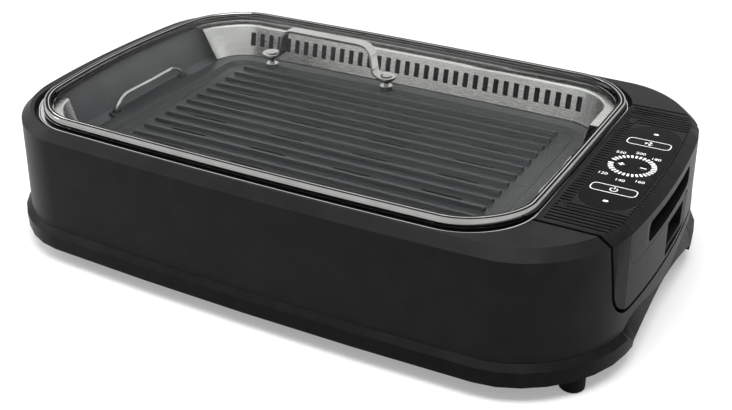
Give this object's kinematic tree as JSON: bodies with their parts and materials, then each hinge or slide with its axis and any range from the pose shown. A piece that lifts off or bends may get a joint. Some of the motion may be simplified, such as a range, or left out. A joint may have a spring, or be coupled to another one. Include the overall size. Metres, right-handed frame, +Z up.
{
  "type": "smokeless indoor grill",
  "caption": "Countertop electric grill with a glass lid, ridged plate, steel surround, lift-out control unit and heater, water tray and extraction fan.",
  "frame": {"origin": "on the surface it stands on, under the centre of the whole grill", "axes": "+Z up, +X towards the control end, -Y towards the front"},
  "size_m": [0.5462, 0.3554, 0.1736],
  "materials": {
    "shell_plastic": "fine-grained black, low gloss",
    "base_plastic": "smooth black, half gloss",
    "control_plastic": "smooth black, half gloss",
    "panel_gloss": "glossy black",
    "key_gloss": "glossy black",
    "light_plastic": "white, lit",
    "surround_steel": "brushed stainless steel",
    "rim_steel": "satin stainless steel",
    "handle_steel": "polished steel",
    "well_steel": "dark grey enamel",
    "nonstick": "dark non-stick coat on cast aluminium",
    "element_steel": "heat-darkened steel",
    "bright_steel": "zinc-bright steel",
    "fan_aluminium": "pressed aluminium",
    "clear_glass": "clear tempered glass",
    "black_rubber": "matte black",
    "white_ceramic": "unglazed",
    "circuit_board": "green board",
    "brass_pins": "bright brass"
  },
  "bodies": {
    "base": {"base_pan": "base_plastic", "body_shell": "shell_plastic", "inner_tub": "well_steel", "motor_bracket": "bright_steel", "fan_motor": "element_steel", "fan_housing": "control_plastic", "fan_guard": "bright_steel", "coupler_socket": "base_plastic", "fan_lead": "black_rubber", "foot_front_left": "black_rubber", "screw_front_left": "bright_steel", "foot_front_right": "black_rubber", "screw_front_right": "bright_steel", "foot_rear_left": "black_rubber", "screw_rear_left": "bright_steel", "foot_rear_right": "black_rubber", "screw_rear_right": "bright_steel"},
    "fan": {"fan_impeller": "fan_aluminium", "fan_shaft": "bright_steel", "fan_nut": "brass_pins"},
    "water_tray": {"water_tray": "well_steel"},
    "control_unit": {"control_housing": "control_plastic", "control_cover": "control_plastic", "control_panel": "panel_gloss", "tick_light_ring": "light_plastic", "fan_light": "light_plastic", "power_light": "light_plastic", "control_board": "circuit_board", "power_inlet": "base_plastic", "inlet_pin_front": "brass_pins", "inlet_pin_rear": "brass_pins", "coupler_plug": "control_plastic", "heating_element": "element_steel", "element_tie_left": "element_steel", "element_tie_right": "element_steel", "heater_flange": "well_steel", "terminal_block": "white_ceramic", "temperature_probe": "bright_steel", "thermal_cutoff": "fan_aluminium"},
    "fan_button": {"fan_button": "key_gloss"},
    "power_button": {"power_button": "key_gloss"},
    "plus_button": {"plus_button": "key_gloss"},
    "minus_button": {"minus_button": "key_gloss"},
    "surround": {"steel_surround": "surround_steel", "trim_ring": "rim_steel"},
    "plate": {"grill_plate": "nonstick", "plate_handle_left": "bright_steel", "plate_handle_right": "bright_steel"},
    "lid": {"lid_gasket": "black_rubber", "lid_rim": "rim_steel", "lid_glass": "clear_glass", "lid_handle": "handle_steel", "handle_washer_left": "black_rubber", "handle_screw_left": "handle_steel", "handle_nut_left": "handle_steel", "handle_washer_right": "black_rubber", "handle_screw_right": "handle_steel", "handle_nut_right": "handle_steel"}
  },
  "joints": [
    {"name": "fan_spin", "type": "hinge", "parent": "base", "child": "fan", "pos_m": [-0.019, 0, 0], "axis": [0, 0, 1], "continuous": true},
    {"name": "tray_lift", "type": "slide", "parent": "base", "child": "water_tray", "axis": [0, 0, 1], "range_m": [0, 0.09]},
    {"name": "control_unit_lift", "type": "slide", "parent": "water_tray", "child": "control_unit", "axis": [0, 0, 1], "range_m": [0, 0.09]},
    {"name": "surround_lift", "type": "slide", "parent": "control_unit", "child": "surround", "axis": [0, 0, 1], "range_m": [0, 0.05]},
    {"name": "plate_lift", "type": "slide", "parent": "surround", "child": "plate", "axis": [0, 0, 1], "range_m": [0, 0.06]},
    {"name": "lid_lift", "type": "slide", "parent": "plate", "child": "lid", "axis": [0, 0, 1], "range_m": [0, 0.12]},
    {"name": "fan_press", "type": "slide", "parent": "control_unit", "child": "fan_button", "axis": [0, 0, -1], "range_m": [0, 0.0008], "stiffness_N_per_m": 500, "springref_m": -0.0005},
    {"name": "power_press", "type": "slide", "parent": "control_unit", "child": "power_button", "axis": [0, 0, -1], "range_m": [0, 0.0008], "stiffness_N_per_m": 500, "springref_m": -0.0005},
    {"name": "plus_press", "type": "slide", "parent": "control_unit", "child": "plus_button", "axis": [0, 0, -1], "range_m": [0, 0.0008], "stiffness_N_per_m": 500, "springref_m": -0.0005},
    {"name": "minus_press", "type": "slide", "parent": "control_unit", "child": "minus_button", "axis": [0, 0, -1], "range_m": [0, 0.0008], "stiffness_N_per_m": 500, "springref_m": -0.0005}
  ]
}
